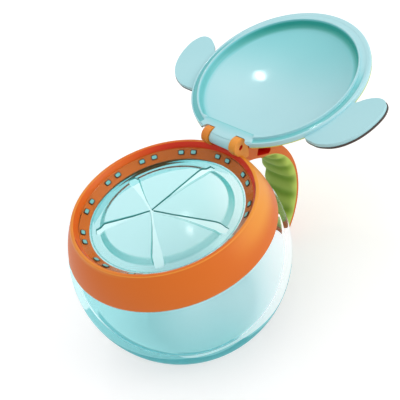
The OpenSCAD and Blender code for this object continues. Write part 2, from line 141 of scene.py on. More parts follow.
def cut(o, *tools):
    """The object with the tools cut out of it. The tools are used up."""
    for t in tools:
        m = o.modifiers.new("cut", "BOOLEAN")
        m.operation = "DIFFERENCE"
        m.solver = "MANIFOLD"
        m.object = t
    baked(o)
    drop(tools)
    return o


def rounded(o, width, angle=40):
    """The object with its edges rounded by a width. Large flats get a narrow rim, so they shade flat."""
    m = o.modifiers.new("edges", "BEVEL")
    m.width = width * MM
    m.segments = 3
    m.limit_method = "ANGLE"
    m.angle_limit = math.radians(angle)
    m.use_clamp_overlap = True
    baked(o)
    bm = bmesh.new()
    bm.from_mesh(o.data)
    flats = [f for f in bm.faces if len(f.verts) > 7]
    bmesh.ops.inset_individual(bm, faces=flats, thickness=width * 0.15 * MM, use_even_offset=False)
    bm.to_mesh(o.data)
    bm.free()
    return o


def joined(name, *objs):
    """Several closed shells as one object."""
    mats, bm = [], bmesh.new()
    for o in objs:
        for m in o.data.materials:
            if m not in mats:
                mats.append(m)
        index = [mats.index(m) for m in o.data.materials]
        part = o.data.copy()
        of_face = [index[f.material_index] for f in part.polygons]
        part.polygons.foreach_set("material_index", np.array(of_face, np.int32))
        bm.from_mesh(part)
        bpy.data.meshes.remove(part)
    mesh = bpy.data.meshes.new(name)
    bm.to_mesh(mesh)
    bm.free()
    for m in mats:
        mesh.materials.append(m)
    drop(objs)
    shade_soft(mesh)
    return placed(name, mesh)


def fillet(pts, radii, closed=True):
    """A polyline with its corners rounded by the given radii, in six steps each."""
    out, count, steps = [], len(pts), 6
    for i, p in enumerate(pts):
        p = np.asarray(p, float)
        r = radii[i]
        if r <= 0 or (not closed and i in (0, count - 1)):
            out.append(p)
            continue
        a, b = np.asarray(pts[i - 1], float) - p, np.asarray(pts[(i + 1) % count], float) - p
        la, lb = np.linalg.norm(a), np.linalg.norm(b)
        a, b = a / la, b / lb
        ang = math.acos(max(-1, min(1, float(a @ b))))
        if ang > math.pi - 0.05:
            out.append(p)
            continue
        t = min(r / math.tan(ang / 2), 0.48 * la, 0.48 * lb)
        r = t * math.tan(ang / 2)
        c = p + (a + b) / np.linalg.norm(a + b) * (r / math.sin(ang / 2))
        p0, p1 = p + a * t - c, p + b * t - c
        th = math.acos(max(-1, min(1, float(p0 @ p1) / (r * r))))
        for k in range(steps + 1):
            w = k / steps
            out.append(c + (math.sin((1 - w) * th) * p0 + math.sin(w * th) * p1) / math.sin(th))
    return out


def arc(c, r, a0, a1, n):
    """Points on a circle, angles in degrees."""
    return [(c[0] + r * math.cos(math.radians(a0 + (a1 - a0) * i / n)),
             c[1] + r * math.sin(math.radians(a0 + (a1 - a0) * i / n))) for i in range(n + 1)]


def around(n):
    """n even angles round a full turn."""
    return TAU * np.arange(n) / n


def turned(name, rows, th, mats, closed=False):
    """Rows of (radius, height) turned about the Z axis. Either may change with the angle; radius 0 is a pole."""
    m = len(th)
    verts, rings, faces = [], [], []
    for r, z in rows:
        if np.ndim(r) == 0 and r == 0:
            rings.append([len(verts)] * m)
            verts.append((0, 0, float(z)))
        else:
            r, z = np.broadcast_to(r, (m,)), np.broadcast_to(z, (m,))
            rings.append(list(range(len(verts), len(verts) + m)))
            verts += list(zip(r * np.cos(th), r * np.sin(th), z))
    for a, b in zip(rings, rings[1:] + (rings[:1] if closed else [])):
        for k in range(m):
            q = [a[k], a[(k + 1) % m], b[(k + 1) % m], b[k]]
            f = [v for i, v in enumerate(q) if v != q[i - 1]]
            if len(f) > 2:
                faces.append(f)
    return piece(name, verts, faces, mats)


def stacked(name, layers, mats):
    """Outlines of equal count, joined in their order and closed at both ends."""
    m, last = len(layers[0]), len(layers[0]) * (len(layers) - 1)
    faces = [list(range(m)), list(range(last + m - 1, last - 1, -1))]
    for j in range(0, last, m):
        faces += [[j + i, j + (i + 1) % m, j + m + (i + 1) % m, j + m + i] for i in range(m)]
    return piece(name, [p for layer in layers for p in layer], faces, mats)


def prism(name, outline, x0, x1, mats):
    """A (y, z) outline drawn out along X."""
    return stacked(name, [[(x, p[0], p[1]) for p in outline] for x in (x0, x1)], mats)


def paint(o, value, name="shade"):
    """Stores value(x, y, z), worked out at every point in millimetres, for the materials to read."""
    co = np.zeros(len(o.data.vertices) * 3)
    o.data.vertices.foreach_get("co", co)
    x, y, z = co.reshape(-1, 3).T / MM
    at = o.data.attributes.new(name, "FLOAT", "POINT")
    at.data.foreach_set("value", np.clip(value(x, y, z), 0, 1).astype(np.float32))


# ------------------------------------------------------------- node helpers

def link(nt, a, b):
    """Leads an output to an input."""
    nt.links.new(a, b)


def feed(nt, n, inputs):
    """Gives a node's inputs, by name or number, a value or another node's output."""
    for key, value in inputs.items():
        if isinstance(value, bpy.types.NodeSocket):
            link(nt, value, n.inputs[key])
        else:
            n.inputs[key].default_value = value


def node(nt, kind, inputs=None, **settings):
    """A new node with its settings and its inputs."""
    n = nt.nodes.new(kind)
    for key, value in settings.items():
        setattr(n, key, value)
    feed(nt, n, inputs or {})
    return n


def calc(nt, operation, *args):
    """The result of one step of arithmetic on values or outputs."""
    return node(nt, "ShaderNodeMath", dict(enumerate(args)), operation=operation).outputs[0]


def mixed(nt, share, a, b, **settings):
    """A colour between a, at share 0, and b, at share 1."""
    return node(nt, "ShaderNodeMix", {0: share, 6: a, 7: b}, data_type="RGBA", **settings).outputs[2]


def stored(nt, name):
    """A value that paint() has stored."""
    return node(nt, "ShaderNodeAttribute", attribute_name=name).outputs["Fac"]


def sockets(group, in_out, rows):
    """Adds sockets of (name, kind, value) to a node group; gives each one's identifier."""
    made = {}
    for name, kind, value in rows:
        s = group.interface.new_socket(name=name, in_out=in_out, socket_type="NodeSocket" + kind)
        if value is not None:
            s.default_value = value
        made[name] = s.identifier
    return made


# ---------------------------------------------------------------- materials

def group_mould():
    """Soft flow marks of a moulding: a colour that drifts a little, a roughness and a fine height."""
    g = bpy.data.node_groups.new("moulded_surface", "ShaderNodeTree")
    sockets(g, "INPUT", (("Colour", "Color", (0.8, 0.8, 0.8, 1)), ("Deeper", "Color", (0.7, 0.7, 0.7, 1)),
                         ("Drift", "Float", 0.5), ("Roughness", "Float", 0.35), ("Grain", "Float", 900.0)))
    sockets(g, "OUTPUT", (("Colour", "Color", None), ("Roughness", "Float", None), ("Height", "Float", None)))
    given = node(g, "NodeGroupInput").outputs
    place = node(g, "ShaderNodeTexCoord").outputs["Object"]
    slow = node(g, "ShaderNodeTexNoise", {"Vector": place, "Scale": 26, "Detail": 2}).outputs["Fac"]
    fine = node(g, "ShaderNodeTexNoise", {"Vector": place, "Scale": given["Grain"], "Detail": 3}).outputs["Fac"]
    span = node(g, "ShaderNodeMapRange", {"Value": slow, "From Min": 0.35, "From Max": 0.7}).outputs[0]
    drift = calc(g, "MULTIPLY", span, given["Drift"])
    node(g, "NodeGroupOutput", {"Colour": mixed(g, drift, given["Colour"], given["Deeper"]),
                                "Roughness": calc(g, "MULTIPLY_ADD", fine, 0.12, given["Roughness"]),
                                "Height": fine})
    return g


MOULD = group_mould()


def material(name):
    """A new material with its node tree, its shader and its output."""
    m = bpy.data.materials.new(name)
    m.use_nodes = True
    nt = m.node_tree
    return m, nt, nt.nodes["Principled BSDF"], nt.nodes["Material Output"]


def moulded(name, colour, deeper, rough, grain=900, depth=0.02, coat=0.0, gloss=0.5, shades=None):
    """Moulded plastic. Shades are (place, colour) steps read along the piece's own shade value."""
    m, nt, p, _ = material(name)
    g = node(nt, "ShaderNodeGroup", node_tree=MOULD)
    feed(nt, g, {"Colour": colour, "Deeper": deeper, "Drift": 0.5, "Roughness": rough - 0.06, "Grain": grain})
    if shades:
        ramp = node(nt, "ShaderNodeValToRGB", {"Fac": stored(nt, "shade")})
        steps = [(0, colour)] + list(shades)
        e = ramp.color_ramp.elements
        while len(e) < len(steps):
            e.new(0.5)
        for k, (place, c) in enumerate(steps):
            e[k].position = place
            e[k].color = c
        ratio = tuple(d / max(c, 1e-3) for d, c in zip(deeper[:3], colour[:3])) + (1,)
        tone = ramp.outputs["Color"]
        feed(nt, g, {"Colour": tone, "Deeper": mixed(nt, 1.0, tone, ratio, blend_type="MULTIPLY")})
    bump = node(nt, "ShaderNodeBump", {"Strength": 0.35, "Distance": depth * MM, "Height": g.outputs["Height"]})
    feed(nt, p, {"Base Color": g.outputs["Colour"], "Roughness": g.outputs["Roughness"],
                 "Normal": bump.outputs["Normal"], "Specular IOR Level": gloss})
    if coat:
        feed(nt, p, {"Coat Weight": coat, "Coat Roughness": 0.08})
    return m


def clear(name, rough, ior, lamp, coat):
    """Clear tinted plastic that lets the lamps through."""
    m, nt, p, out = material(name)
    feed(nt, p, {"Roughness": rough, "IOR": ior, "Transmission Weight": 1.0, "Coat Weight": coat,
                 "Coat Roughness": 0.04})
    shadow = node(nt, "ShaderNodeLightPath").outputs["Is Shadow Ray"]
    free = node(nt, "ShaderNodeBsdfTransparent", {"Color": lamp}).outputs[0]
    feed(nt, out, {"Surface": node(nt, "ShaderNodeMixShader", {0: shadow, 1: p.outputs[0], 2: free}).outputs[0]})
    return m, nt, p


# The bowl: paler or deeper by its stored values, which hold painted light on its lit side, and deepest where the
# wall is seen at a slant.
bowl_m, nt, p = clear("clear_aqua_bowl", 0.04, 1.012, (0.62, 0.63, 0.635, 1), coat=0.06)
body = mixed(nt, stored(nt, "pale"), screen(201, 235, 237), screen(247, 252, 254))
grazing = node(nt, "ShaderNodeLayerWeight", {"Blend": 0.5}).outputs["Facing"]
slant = calc(nt, "ADD", grazing, stored(nt, "shade"))
edge = node(nt, "ShaderNodeMapRange", {"Value": slant, "From Min": 1.535, "From Max": 1.565},
            interpolation_type="SMOOTHSTEP").outputs[0]
tint = mixed(nt, edge, body, screen(86, 170, 177))
bounced = node(nt, "ShaderNodeLightPath").outputs["Is Diffuse Ray"]
feed(nt, p, {"Base Color": mixed(nt, bounced, tint, (0.3, 0.3, 0.3, 1))})

# Deeper teal where the stored shade is high: painted shade in the membrane's step and a painted shadow along the
# film's inner edge.
skin_m, nt, p = clear("clear_aqua_membrane", 0.1, 1.12, (0.9, 0.97, 0.97, 1), coat=0.0)
feed(nt, p, {"Base Color": mixed(nt, stored(nt, "shade"), screen(228, 241, 242), screen(86, 182, 180))})

# The faces where two parts of one membrane meet aren't seen.
seam_m, nt, p, out = material("membrane_fold_line")
feed(nt, out, {"Surface": node(nt, "ShaderNodeBsdfTransparent").outputs[0]})
nt.nodes.remove(p)

# The cut faces of the slits show from outside only.
edge_m = moulded("membrane_cut_edge", screen(62, 158, 156), screen(50, 142, 140), rough=0.35, gloss=0.2)
nt = edge_m.node_tree
one_way = node(nt, "ShaderNodeMixShader", {0: node(nt, "ShaderNodeNewGeometry").outputs["Backfacing"],
                                           1: nt.nodes["Principled BSDF"].outputs[0],
                                           2: node(nt, "ShaderNodeBsdfTransparent").outputs[0]})
feed(nt, nt.nodes["Material Output"], {"Surface": one_way.outputs[0]})

rivet_m = moulded("aqua_rivet", screen(122, 200, 198), screen(106, 184, 182), rough=0.3)
# A dark plate under each rivet head: painted shade round the head, in its hole through the ledge.
rivet_shade_m = moulded("rivet_painted_shade", screen(70, 44, 30), screen(56, 36, 26), rough=0.5, gloss=0.2)
# Shade steps of the orange: 0.25 painted light and a painted highlight, 0.5 the ledge's tone under the film,
# 0.75 deep red painted shade, 1 a dark painted shadow.
orange_m = moulded("orange_satin", screen(223, 109, 8), screen(214, 99, 6), rough=0.45, gloss=0.42,
                   shades=[(0.25, screen(243, 158, 52)), (0.5, screen(240, 106, 2)), (0.75, screen(226, 46, 0)),
                           (1.0, screen(104, 48, 12))])
# Deep red for the insides of the pockets and pin holes: painted shade in the recesses.
recess_shade_m = moulded("orange_recess_shade", screen(226, 26, 6), screen(205, 16, 3), rough=0.45)
# Its shade step is painted shade, in the valleys of the pad's waves.
green_m = moulded("green_soft_grip", screen(198, 218, 106), screen(184, 208, 90), rough=0.6, grain=2600,
                  depth=0.05, gloss=0.3, shades=[(1.0, screen(146, 180, 62))])
AQUA, AQUA_2 = screen(182, 228, 234), screen(170, 221, 228)
# Its shade steps are painted shade: 0.34 towards the dish's far side, 1 on the wall round the dish.
lid_m = moulded("aqua_lid", AQUA, AQUA_2, rough=0.3, coat=0.25, gloss=0.25,
                shades=[(0.34, screen(139, 217, 222)), (1.0, screen(46, 168, 156))])
ear_m = moulded("aqua_ear", AQUA, AQUA_2, rough=0.55, gloss=0.2)
lime_m = moulded("lime_cover", screen(206, 220, 98), screen(196, 212, 84), rough=0.34)
brown_m = moulded("brown_ear", screen(62, 40, 30), screen(50, 32, 24), rough=0.4)


# --------------------------------------------------------------------- bowl

BALL_R, BALL_Z, INNER_R, INNER_Z = 47.5, 39.4, 44.6, 41.2
SHOULDER_Z, NECK_R, NECK_IN, NECK_TOP = 55.7, 39.0, 36.6, 65.0


def on_ball(z, r=BALL_R, c=BALL_Z):
    """How wide a ball is at a height."""
    return math.sqrt(r * r - (z - c) ** 2)


def ball_arc(r, c, z0, z1, n):
    """Points down or up a ball's side, from one height to another."""
    a0, a1 = math.asin((z0 - c) / r), math.asin((z1 - c) / r)
    turns = [a0 + (a1 - a0) * i / n for i in range(n + 1)]
    return [(r * math.cos(a), c + r * math.sin(a)) for a in turns]


def bowl_section():
    """Foot, ball, shoulder and neck with its bead, then back down the inside."""
    outer = ball_arc(BALL_R, BALL_Z, 3.0, 54.6, 44)
    inner = ball_arc(INNER_R, INNER_Z, 52.0, 7.5, 40)
    pts = [(0, 0), (on_ball(0), 0)] + outer + [
        (on_ball(SHOULDER_Z), SHOULDER_Z), (NECK_R, SHOULDER_Z), (NECK_R, 59.8), (39.1, 60.1), (39.1, 60.5),
        (NECK_R, 60.8), (NECK_R, NECK_TOP), (NECK_IN, NECK_TOP), (NECK_IN, 53.5), (42.6, 53.5)]
    pts += inner + [(on_ball(4, INNER_R, INNER_Z), 4.0), (0, 4.0)]
    rad = [0, 2.2] + [0] * len(outer) + [0.5, 0.3, 0, 0, 0, 0, 0.6, 0.6, 0.9, 1.6] + [0] * len(inner) + [3.0, 0]
    return fillet(pts, rad, closed=False)


bowl = turned("bowl_ball", bowl_section(), around(256), [bowl_m])


def bowl_edge(x, y, z):
    """High low down on the outside, and falling with height, so that only the heel looks deep at a slant. Lower
    towards the right, as painted light that thins the heel's tint on the lit side.
    """
    r = np.hypot(x, y)
    outside = np.hypot(r, z - BALL_Z) > 46.3
    # Painted light: less of the heel's tint towards the lit right side.
    lit_side_thinning = 0.3 * smooth(0.2, 0.8, rightward(x, y) / np.maximum(r, 1))
    return np.where(outside & (z < 55), 1.04 - 0.45 * smooth(19, 37, z) - lit_side_thinning, 0.0)


def bowl_lit_side_and_foot(x, y, z):
    """Painted light: paler towards the lit side, away from the front left. The foot is paler too."""
    side = smooth(0.15, 0.95, (0.62 * x + 0.78 * y) / BALL_R)
    return np.maximum(side, 0.9 * smooth(29, 8, np.hypot(x, y)) * (z < 7.6))


paint(bowl, bowl_edge)
paint(bowl, bowl_lit_side_and_foot, "pale")
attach(bowl, "bowl")
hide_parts("bowl")

# ------------------------------------------------------------------- collar

COLLAR_Z, LIP_R, LIP_Z, BEAD = 55.85, 38.15, 68.85, 0.85
LEDGE_OUT, LEDGE_IN, LEDGE_T, FILM = np.array([36.1, 67.0]), np.array([32.1, 63.8]), 1.0, 0.45
LEDGE_DIR = (LEDGE_OUT - LEDGE_IN) / np.linalg.norm(LEDGE_OUT - LEDGE_IN)
LEDGE_DOWN = np.array([LEDGE_DIR[1], -LEDGE_DIR[0]])


def collar_section():
    """The outer wall, the lip's bead and the sloping ledge that carries the film."""
    foot = np.array([on_ball(COLLAR_Z), COLLAR_Z])
    top = np.array([LIP_R + BEAD * 0.99, LIP_Z])
    d = top - foot
    out = np.array([d[1], -d[0]]) / np.linalg.norm(d)
    side = [foot + d * t + out * 0.55 * 4 * t * (1 - t) for t in np.linspace(0, 1, 15)][1:-1]
    lip = arc((LIP_R, LIP_Z), BEAD, 8, 140, 12)
    ledge_top = LEDGE_OUT + FILM * LEDGE_DOWN
    ledge_end = LEDGE_IN + LEDGE_DIR * 0.3 + FILM * LEDGE_DOWN
    under = ledge_end + LEDGE_T * LEDGE_DOWN
    pts = [(39.2, COLLAR_Z), foot] + side + lip
    pts += [(37.1, 68.45), LEDGE_OUT + (0.3, 0.25), ledge_top, ledge_end, under, (37.6, 66.35), (39.2, 66.0)]
    rad = [0.3, 0.55] + [0] * (len(side) + len(lip)) + [0.5, 0, 0.05, 0.3, 0.3, 0.3, 0.3]
    return fillet(pts, rad)


ring = turned("ring", collar_section(), around(288), [orange_m], closed=True)

HINGE = np.array([37.6, 73.6])
PIN_HOLE, PIN_TURN = (1.25, 0.85), 35


def lug(side):
    """A rounded tab beside the barrel, with its pin hole."""
    y, z = HINGE
    outline = [(y - 0.2, 66.9), (y + 3.2, 66.9), (y + 3.75, 69.5)] + arc((y, z), 3.8, -8, 188, 22)
    outline += [(y - 2.75, 70.75), (y - 1.2, 69.6)]
    o = prism("lug", outline, *sorted((side * 6.25, side * 9.85)), [orange_m, recess_shade_m])
    (p, q), (c, s) = PIN_HOLE, ray(PIN_TURN)
    hole = [(y + p * math.cos(t) * c - q * math.sin(t) * s, z + p * math.cos(t) * s + q * math.sin(t) * c)
            for t in np.linspace(0, TAU, 20, endpoint=False)]
    cut(o, prism("hole", hole, *sorted((side * 7.6, side * 11)), [recess_shade_m]))
    return rounded(o, 0.55)


# The handle: an upper sweep from the arm's root round to its farthest point, and a lower one from there.
HANDLE_Z, REACH, HALF_W = 36.5, 67.8, 9.5
RUN, RISE = REACH - 45.8, 70.5 - 0.35 - HANDLE_Z
UP_R = (RUN * RUN + RISE * RISE) / (2 * RUN)
UP_Y, LOW_R = REACH - UP_R, 39.0
LOW_Y = REACH - LOW_R
ROOT_T, GRIP_T, BACK_T = 7.9, 4.6, 1.2
THIN = ROOT_T - GRIP_T
GRIP_TOP, GRIP_END = 52.0, -50.0
ARM_TOP = 69.85


def inner_arm(a):
    """Where a ray at angle a leaves the arm's inner circle, from the upper sweep's middle."""
    c = np.array([-THIN * 0.35, -THIN * 0.95])
    r = UP_R - GRIP_T + 0.2
    b = c @ ray(a)
    return float(b + math.sqrt(b * b - c @ c + r * r))


def strip_r(a):
    """Where the hard back ends and the pad begins, at angle a of the upper sweep."""
    return UP_R - BACK_T - (UP_R - inner_arm(GRIP_TOP) - BACK_T - 0.3) * min(max(a / GRIP_TOP, 0), 1) ** 1.9


def on_sweep(r, a):
    """The (y, z) point at radius r and angle a of the upper sweep."""
    return (UP_Y + r * math.cos(math.radians(a)), HANDLE_Z + r * math.sin(math.radians(a)))


def arm():
    """The arm with its hard back strip, and a pocket in each side near the top."""
    top_a = math.degrees(math.asin((ARM_TOP - HANDLE_Z) / UP_R))
    back = arc((UP_Y, HANDLE_Z), UP_R, top_a, 0, 34) + arc((LOW_Y, HANDLE_Z), LOW_R, -1.5, GRIP_END, 24)
    strip = arc((LOW_Y, HANDLE_Z), LOW_R - BACK_T, GRIP_END, -1.5, 22)
    strip += [on_sweep(strip_r(a), a) for a in np.linspace(0, GRIP_TOP, 26)]
    inner = [on_sweep(inner_arm(a), a) for a in np.linspace(GRIP_TOP + 1.0, 76, 24)]
    inner = [q for q in inner if q[0] > 40.6]
    outline = [(39.5, 66.4), (38.1, 66.7), (38.1, ARM_TOP)] + back + strip + inner + [(39.5, inner[-1][1] + 0.3)]
    o = prism("arm", outline, -HALF_W, HALF_W, [orange_m, recess_shade_m])
    low, high = 46.3, 61.5
    mid = (low + high) / 2
    depths = ((2.8, low), (2.8, mid), (2.8, high), (6.5, high), (6.2, mid), (5.3, low))
    pocket = fillet([on_sweep(UP_R - d, a) for d, a in depths], [1.5, 0, 0.8, 0.8, 0, 1.5])
    cut(o, *(prism("pocket", pocket, x0, x1, [recess_shade_m]) for x0, x1 in ((3.5, 12), (-12, -3.5))))
    return rounded(o, 0.5)


def collar_light_and_shade(x, y, z):
    """Steps of the orange: 0 plain, 0.25 painted light on the lit sides with a painted highlight along the bead,
    0.5 the ledge's tone under the film, 0.75 the deep red of painted shade on the lip's inner wall, 1 a painted
    shadow at the lip's near inner edge.
    """
    r = np.hypot(x, y) + 1e-6
    u, v = rightward(x, y) / r, away(x, y) / r
    ring = (z > 55) & (r < 47)
    # Painted light on the lit right side and on the lip's top at the left, and a painted highlight along the
    # bead.
    right, left = smooth(0.4, 0.95, u) * smooth(59, 66, z), 0.6 * smooth(-0.3, -0.9, u) * smooth(68.2, 69.2, z)
    pale = 0.25 * np.maximum(right, left)
    bead_highlight = 0.25 * smooth(38.7, 38.85, r) * smooth(39.0, 38.9, r) * (z > 68.5)
    value = np.where(ring, np.maximum(pale, bead_highlight), 0.0)
    # Painted shade on the lip's inner wall, deeper red towards the right, and a painted shadow at its near edge.
    wall = (r < 37.6) & (z > 66) & (z < 70)
    value = np.where(wall, 0.5 + 0.25 * smooth(-0.5, 0.25, u), value)
    value = np.where(wall & (r > 37.2) & (v < -0.15), 1.0, value)
    value = np.where((r < 36.45) & (z > 60) & (z < 67.2), 0.5, value)
    arm = (np.abs(x) < 9.6) & (y > 38) & (z < 70.2) & ((z > 66.2) | (r > 45.6 - 0.43 * (z - COLLAR_Z)))
    return np.where(arm, 0.0, value)


collar = joined("collar_ring", ring, lug(1), lug(-1), arm())
paint(collar, collar_light_and_shade)
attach(collar, "collar")
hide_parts("collar")


# --------------------------------------------------------------------- grip

def grip():
    """The soft pad on the inside of the handle, with long low waves across it."""
    rows, cols, waves = 170, 44, 7
    verts, faces, deeper = [], [], []
    top, low = GRIP_TOP - 0.6, GRIP_END + 3.6
    for a in np.linspace(top, low, rows):
        up = a >= 0
        cy, back_r = (UP_Y, strip_r(a)) if up else (LOW_Y, LOW_R - BACK_T)
        deep = back_r - (min(inner_arm(a), UP_R - 4.4) if up else LOW_R - GRIP_T)
        f = (top - a) / (top - low)
        ends = min(1.0, (1 - f) / 0.035) ** 0.5 * min(1.0, f / 0.02 + 0.25)
        wave = 0.5 - 0.5 * math.cos(TAU * waves * f)
        lit = 1 - 0.5 * max(0.0, 1 - f / 0.3)
        d = ray(a)
        for k in range(cols):
            t = math.pi * k / (cols - 1)
            cs, sn = math.cos(t), math.sin(t)
            x = math.copysign(abs(cs) ** 0.85, cs) * (HALF_W - 0.05)
            h = abs(sn) ** 0.8
            bump = 0.7 * wave * min(1.0, h * 1.8)
            r = back_r + 0.02 - ((max(deep, 0.3) - 0.3) * h + bump) * ends
            waist = 1 - 0.06 * (1 - wave) * min(1.0, h * 2)
            verts.append((x * waist, cy + r * d[0], HANDLE_Z + r * d[1]))
            # Painted shade: darker in the wave valleys, and less of it near the top, where the pad is painted
            # lighter.
            deeper.append((0.15 + 0.85 * (1 - wave) ** 1.5) * min(1.0, h * 1.6) * lit)
    for j in range(rows - 1):
        for k in range(cols - 1):
            a = j * cols + k
            faces.append([a, a + 1, a + cols + 1, a + cols])
        faces.append([j * cols + cols - 1, j * cols, (j + 1) * cols, (j + 1) * cols + cols - 1])
    faces.append(list(range(cols)))
    faces.append([(rows - 1) * cols + k for k in range(cols - 1, -1, -1)])
    o = piece("grip_pad", verts, faces, [green_m], sharp=50)
    paint(o, lambda x, y, z: np.array(deeper))
    return o


pad = grip()
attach(pad, "collar")
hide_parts("handle_grip")

# ----------------------------------------------------------------- membrane

STEP_OUT, STEP_IN, SKIN_T = 28, 26, 0.9


def film_section():
    """Radii and heights of the film: the slope on the ledge, a step and a low dome, all softened."""
    r = np.linspace(0, 40, 1601)
    slope = LEDGE_IN[1] + (r - LEDGE_IN[0]) * LEDGE_DIR[1] / LEDGE_DIR[0]
    step = np.where(r >= STEP_OUT, LEDGE_IN[1], LEDGE_IN[1] + 0.8 * (STEP_OUT - r))
    dome = 65.4 + 1.6 * (1 - (r / STEP_IN) ** 2)
    z = np.where(r >= LEDGE_IN[0], slope, np.where(r >= STEP_IN, step, dome))
    bell = np.exp(-0.5 * (np.arange(-40, 41) / 14.0) ** 2)
    longer = np.concatenate([z[40:0:-1], z, z[-1] + (np.arange(1, 41)) * (z[-1] - z[-2])])
    return r, np.convolve(longer, bell / bell.sum(), "valid")


FILM_R, FILM_Z = film_section()


def skin(x, y):
    """The film's upper face."""
    return np.interp(np.hypot(x, y), FILM_R, FILM_Z)


def skin_low(x, y):
    """The underside: thinner where the film lies on the ledge."""
    return skin(x, y) - np.interp(np.hypot(x, y), [31.4, 32.3], [SKIN_T, 0.5])


def membrane_shade_bands(x, y, z=0):
    """Painted shade: a deeper tint in the membrane's step, strongest towards the right and the left as the
    camera looks, and a painted shadow along the film's inner edge. The film out from the step is a touch deeper.
    """
    r = np.hypot(x, y)
    turn = np.degrees(np.arctan2(away(x, y), rightward(x, y)))
    deep = 0.35 + 0.6 * np.exp(-((turn - 14) / 42) ** 2) + 0.4 * np.exp(-((np.abs(turn) - 165) / 45) ** 2)
    step = deep * smooth(25.7, 26.1, r) * smooth(28.3, 27.9, r)
    step += 0.38 * np.clip(1 - np.abs(r - 28.1) / 0.35, 0, 1)
    film = 0.1 * smooth(28.2, 29, r)
    return np.maximum(np.maximum(step, film), 0.8 * np.clip(1 - np.abs(r - 31.9) / 0.45, 0, 1))


# The slits run from the points ENDS to one point, MEET, that lies off the middle.
SLIT_A = np.radians([-125, -48, 11, 94, 169])
FLAPS = len(SLIT_A)
ENDS = 29.8 * np.stack([np.cos(SLIT_A), np.sin(SLIT_A)], 1)
MEET = 5.6 * ray(-119)
FOLD_Z = 63.6


def slit_width(t):
    """How wide a slit stands open at a share t of its length."""
    return np.interp(t, [0, 0.3, 0.6, 0.82, 0.93, 1.0], [0.8, 0.95, 2.5, 4.1, 3.9, 2.9])


def slit_side(i, side, t):
    """A point on one side of slit i at a share t of its length."""
    e = ENDS[i % FLAPS]
    d = (e - MEET) / np.linalg.norm(e - MEET)
    n = np.array([-d[1], d[0]])
    return MEET + (e - MEET) * t + n * side * slit_width(t) / 2


def inside_hole(x, y):
    """Two masks: within the pentagon of the slit ends or a slit, and within the pentagon."""
    pentagon = np.ones_like(x, bool)
    for i in range(FLAPS):
        a, b = ENDS[i], ENDS[(i + 1) % FLAPS]
        pentagon &= (b[0] - a[0]) * (y - a[1]) - (b[1] - a[1]) * (x - a[0]) >= 0
    hole = pentagon.copy()
    for i in range(FLAPS):
        e = ENDS[i]
        d = (e - MEET) / np.linalg.norm(e - MEET)
        s = (x - MEET[0]) * d[0] + (y - MEET[1]) * d[1]
        t = s / np.linalg.norm(e - MEET)
        off = np.abs(-(x - MEET[0]) * d[1] + (y - MEET[1]) * d[0])
        hole |= (t >= 0) & (t <= 1.0) & (off <= slit_width(t) / 2)
    return hole, pentagon


def membrane_ring():
    """The film outside the flaps, its inner edge following the fold lines and the slits' ends."""
    m, rows = 900, 46
    th = np.linspace(0, TAU, m, endpoint=False)
    rr = np.linspace(20, 31, 1101)
    X, Y = rr[None, :] * np.cos(th)[:, None], rr[None, :] * np.sin(th)[:, None]
    hole, pentagon = inside_hole(X, Y)
    last = np.array([np.nonzero(row)[0].max() for row in hole])
    chord = np.array([np.nonzero(row)[0].max() for row in pentagon])
    r_in = rr[last] + 0.005
    slitted = last > chord + 2
    verts, faces, fmat = [], [], []
    for s in np.linspace(0, 1, rows):
        r = r_in + (LEDGE_OUT[0] - r_in) * s
        x, y = r * np.cos(th), r * np.sin(th)
        verts.append(np.stack([x, y, skin(x, y)], 1))
    top = np.concatenate(verts)
    low = np.column_stack([top[:, :2], skin_low(top[:, 0], top[:, 1])])
    verts = np.concatenate([top, low])
    n_top = len(top)
    for j in range(rows - 1):
        for k in range(m):
            a, b = j * m + k, j * m + (k + 1) % m
            faces.append([a, b, b + m, a + m])
            faces.append([a + n_top, a + m + n_top, b + m + n_top, b + n_top])
            fmat += [0, 0]
    for k in range(m):
        k2 = (k + 1) % m
        faces.append([k, k + n_top, k2 + n_top, k2])
        fmat.append(2 if (slitted[k] or slitted[k2]) else 1)
        a, b = (rows - 1) * m + k, (rows - 1) * m + k2
        faces.append([a, b, b + n_top, a + n_top])
        fmat.append(0)
    return piece("membrane_rim", verts, faces, [skin_m, seam_m, edge_m], fmat, sharp=50)


